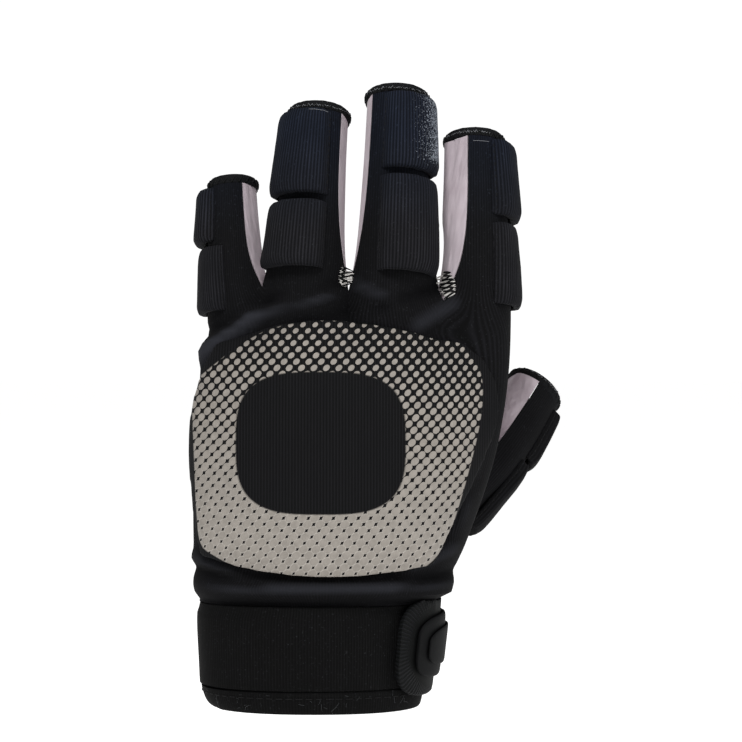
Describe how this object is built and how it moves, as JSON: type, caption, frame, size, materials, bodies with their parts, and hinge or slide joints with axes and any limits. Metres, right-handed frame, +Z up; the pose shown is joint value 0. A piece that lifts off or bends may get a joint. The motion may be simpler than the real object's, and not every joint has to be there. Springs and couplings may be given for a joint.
{
  "type": "field hockey glove",
  "caption": "Padded half-finger glove for the left hand, with finger pads, a domed back pad and a wrist strap, shown in its worn shape.",
  "frame": {"origin": "middle of the cuff's lower rim, where the wrist goes in", "axes": "+Z up the hand to the fingertips, +X to the thumb side, -Y out of the back of the hand"},
  "size_m": [0.1259, 0.0811, 0.2052],
  "materials": {
    "black_knit": "matt ribbed knit over foam",
    "grey_suede": "soft brushed microfibre",
    "black_neoprene": "knit-faced foam rubber",
    "black_binding": "matt woven tape",
    "printed_pad": "foam with a raised grey dot print",
    "strap_rubber": "moulded, satin"
  },
  "bodies": {
    "root": {"back_panel": "black_knit", "palm_panel": "grey_suede", "gusset_little_ring": "grey_suede", "gusset_ring_middle": "grey_suede", "gusset_middle_index": "grey_suede", "thumb_panel": "black_knit", "thumb_gusset": "grey_suede", "little_hem": "black_binding", "ring_hem": "black_binding", "middle_hem": "black_binding", "index_hem": "black_binding", "thumb_hem": "black_binding", "little_root_pad": "black_knit", "little_tip_pad": "black_knit", "ring_root_pad": "black_knit", "ring_tip_pad": "black_knit", "middle_root_pad": "black_knit", "middle_tip_pad": "black_knit", "index_root_pad": "black_knit", "index_tip_pad": "black_knit", "thumb_root_pad": "black_knit", "thumb_tip_pad": "black_knit", "back_pad": "printed_pad", "cuff": "black_neoprene", "cuff_hem": "black_binding", "wrist_strap": "black_neoprene", "strap_tab": "strap_rubber", "strap_patch": "strap_rubber"}
  },
  "joints": []
}
